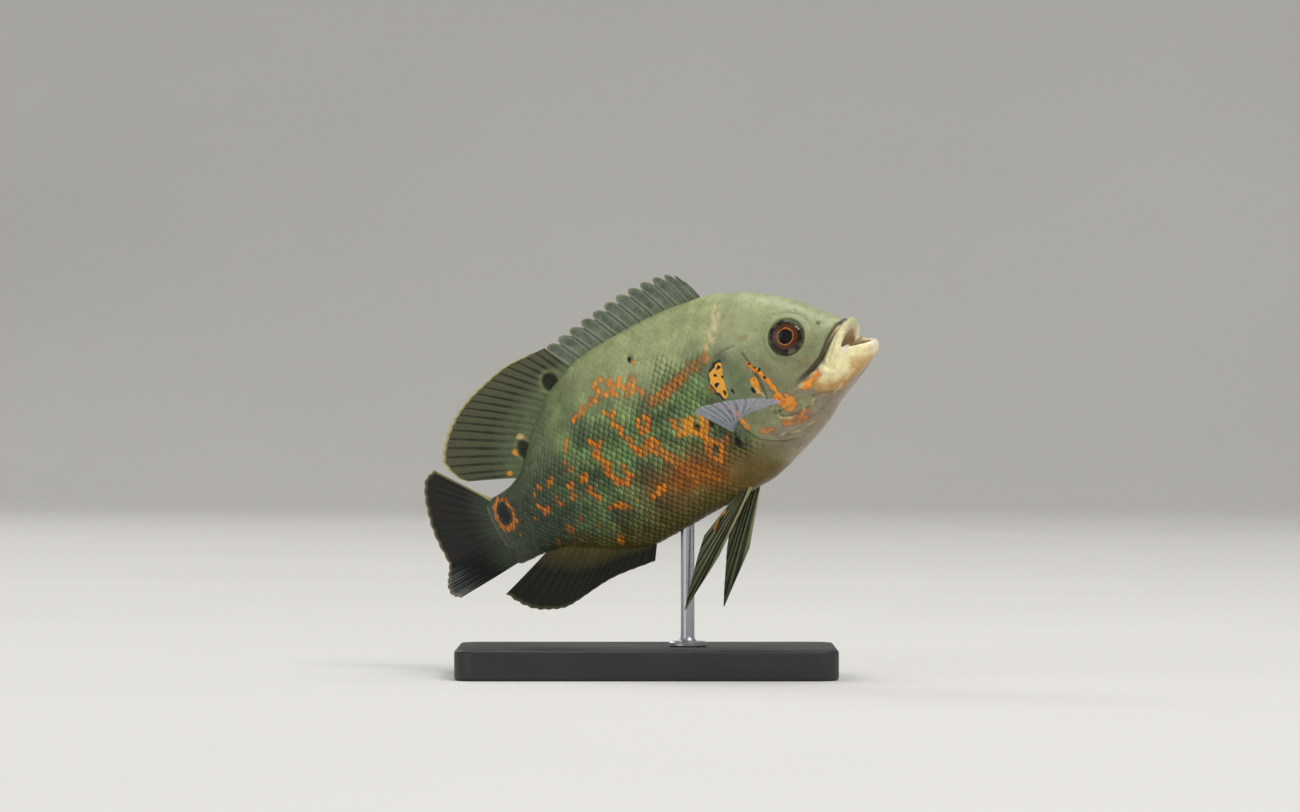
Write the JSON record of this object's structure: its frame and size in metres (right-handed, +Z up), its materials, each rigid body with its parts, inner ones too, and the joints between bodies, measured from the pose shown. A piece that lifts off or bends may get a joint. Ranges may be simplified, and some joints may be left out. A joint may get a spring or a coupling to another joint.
{
  "type": "oscar fish model on a display stand",
  "caption": "Still, life-size oscar cichlid rising in a turn with its mouth open, fins spread, held by a rod on a flat base.",
  "frame": {"origin": "middle of the stand's underside, below the middle of the whole object's box", "axes": "+Z up; the fish looks toward +X, nose up; its right flank faces -Y; +X runs along the base's long side"},
  "size_m": [0.1208, 0.0934, 0.1058],
  "materials": {
    "skin": "moist scaled skin, grey-green with orange marks",
    "lips": "moist, pale yellow",
    "eyes": "glossy, amber ring round a black pupil",
    "fins": "satin membrane with raised rays",
    "clear_fins": "thin, clear bluish membrane with fine rays",
    "rod": "brushed",
    "base": "matte black"
  },
  "bodies": {
    "root": {"head": "skin", "lower_jaw": "skin", "upper_lip": "lips", "gill_cover_left": "skin", "gill_cover_right": "skin", "torso": "skin", "tail": "skin", "eye_left": "eyes", "eye_right": "eyes", "dorsal_fin_spiny": "fins", "dorsal_fin_soft": "fins", "anal_fin": "fins", "tail_fin": "fins", "pelvic_fin_left": "fins", "pelvic_fin_right": "fins", "pectoral_fin_left": "clear_fins", "pectoral_fin_right": "clear_fins", "stand_rod": "rod", "stand_base": "base"}
  },
  "joints": []
}
